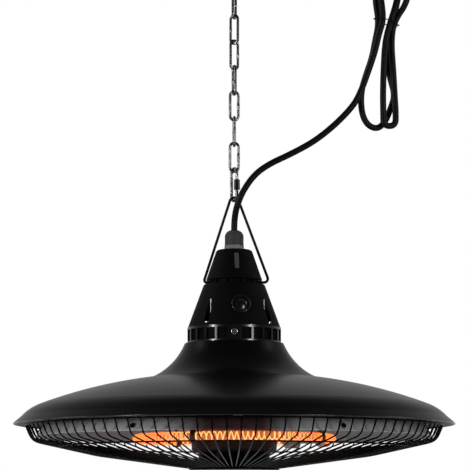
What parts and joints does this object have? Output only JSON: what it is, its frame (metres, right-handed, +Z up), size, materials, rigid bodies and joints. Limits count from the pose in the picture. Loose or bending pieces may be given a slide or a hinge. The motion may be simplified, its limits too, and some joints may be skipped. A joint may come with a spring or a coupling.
{
  "type": "hanging infrared patio heater",
  "caption": "Domed black shade with a ring-shaped infrared element, wire guard, stepped conical housing with push button, hung by a wire bail, quick link and chain from a ceiling hook.",
  "frame": {"origin": "centre of the ceiling plate's top face, where it meets the ceiling", "axes": "+Z up along the chain and the heater's axis, -Y towards the front with the push button, +X to the right, towards the hank of cord"},
  "size_m": [0.5696, 0.5696, 0.7923],
  "materials": {
    "zinc_steel": "zinc plated, satin",
    "black_wire": "satin black coat",
    "black_plastic": "fine matt texture",
    "button_plastic": "glossy",
    "black_rubber": "matt rubber",
    "screw_steel": "bright zinc",
    "tie_wire": "plastic coated wire",
    "circuit_board": "lacquered board",
    "terminal_plastic": "matt",
    "shade_paint": "matt powder coat",
    "plated_steel": "plated sheet",
    "matt_aluminium": "matt rolled",
    "cup_metal": "matt",
    "quartz_glass": "clear, glowing",
    "heating_wire": "oxidised, glowing",
    "ceramic": "unglazed ceramic",
    "lead_sleeve": "glass-fibre sleeve",
    "guard_wire": "dark satin coat"
  },
  "bodies": {
    "ceiling": {"ceiling_plate": "zinc_steel", "ceiling_hook": "zinc_steel", "cord_hook": "zinc_steel", "cord_hank": "black_rubber", "cord_tie": "tie_wire", "plug_body": "black_plastic", "plug_pins": "screw_steel", "cord_run_4": "black_rubber"},
    "top_link": {"chain_link_01": "zinc_steel"},
    "chain": {"chain_link_02": "zinc_steel", "chain_link_03": "zinc_steel", "chain_link_04": "zinc_steel", "chain_link_05": "zinc_steel", "chain_link_06": "zinc_steel", "chain_link_07": "zinc_steel", "chain_link_08": "zinc_steel", "chain_link_09": "zinc_steel", "chain_link_10": "zinc_steel", "quick_link": "zinc_steel", "cord_run_3": "black_rubber"},
    "sleeve": {"quick_link_sleeve": "zinc_steel"},
    "bail": {"bail": "black_wire", "cord_run_2": "black_rubber"},
    "button": {"power_button": "button_plastic", "switch_plunger": "button_plastic"},
    "heater": {"gland_body": "black_plastic", "gland_nut": "black_plastic", "gland_locknut": "black_plastic", "upper_cone": "black_plastic", "lower_cone": "black_plastic", "cone_latch": "black_plastic", "bail_bracket": "black_plastic", "vent_ring": "black_plastic", "button_bezel": "black_plastic", "control_tray": "black_plastic", "push_switch": "button_plastic", "gland_seal": "black_rubber", "cord_inner": "black_rubber", "bracket_screws": "screw_steel", "channel_screws": "screw_steel", "vent_screw": "screw_steel", "shade_screws": "screw_steel", "reflector_screws": "screw_steel", "guard_tabs": "screw_steel", "reflector_straps": "screw_steel", "control_board": "circuit_board", "terminal_block": "terminal_plastic", "shade": "shade_paint", "hanger_frame": "plated_steel", "thermal_cutout": "plated_steel", "tube_clips": "plated_steel", "reflector": "matt_aluminium", "centre_cup": "cup_metal", "heating_tube": "quartz_glass", "heating_coil": "heating_wire", "end_caps": "ceramic", "lead_wires": "lead_sleeve", "guard": "guard_wire", "guard_disc": "guard_wire", "cord_run_1": "black_rubber"}
  },
  "joints": [
    {"name": "chain_side_swing", "type": "hinge", "parent": "ceiling", "child": "top_link", "pos_m": [0, 0, -0.06], "axis": [0, 1, 0], "range_deg": [-6, 6], "deforming": ["cord_run_4"]},
    {"name": "chain_fore_swing", "type": "hinge", "parent": "top_link", "child": "chain", "pos_m": [0, 0, -0.0933], "axis": [1, 0, 0], "range_deg": [-6, 6], "deforming": ["cord_run_3"]},
    {"name": "bail_swing", "type": "hinge", "parent": "chain", "child": "bail", "pos_m": [0, 0, -0.4368], "axis": [1, 0, 0], "range_deg": [-8, 8], "deforming": ["cord_run_2"]},
    {"name": "heater_tilt", "type": "hinge", "parent": "bail", "child": "heater", "pos_m": [0, 0, -0.54868], "axis": [1, 0, 0], "range_deg": [-10, 10], "deforming": ["cord_run_1"]},
    {"name": "button_press", "type": "slide", "parent": "heater", "child": "button", "axis": [-0.1631, 0.9249, -0.3435], "range_m": [0, 0.0015], "stiffness_N_per_m": 600, "springref_m": -0.001},
    {"name": "sleeve_slide", "type": "slide", "parent": "chain", "child": "sleeve", "axis": [0, 0, -1], "range_m": [0, 0.006]}
  ]
}
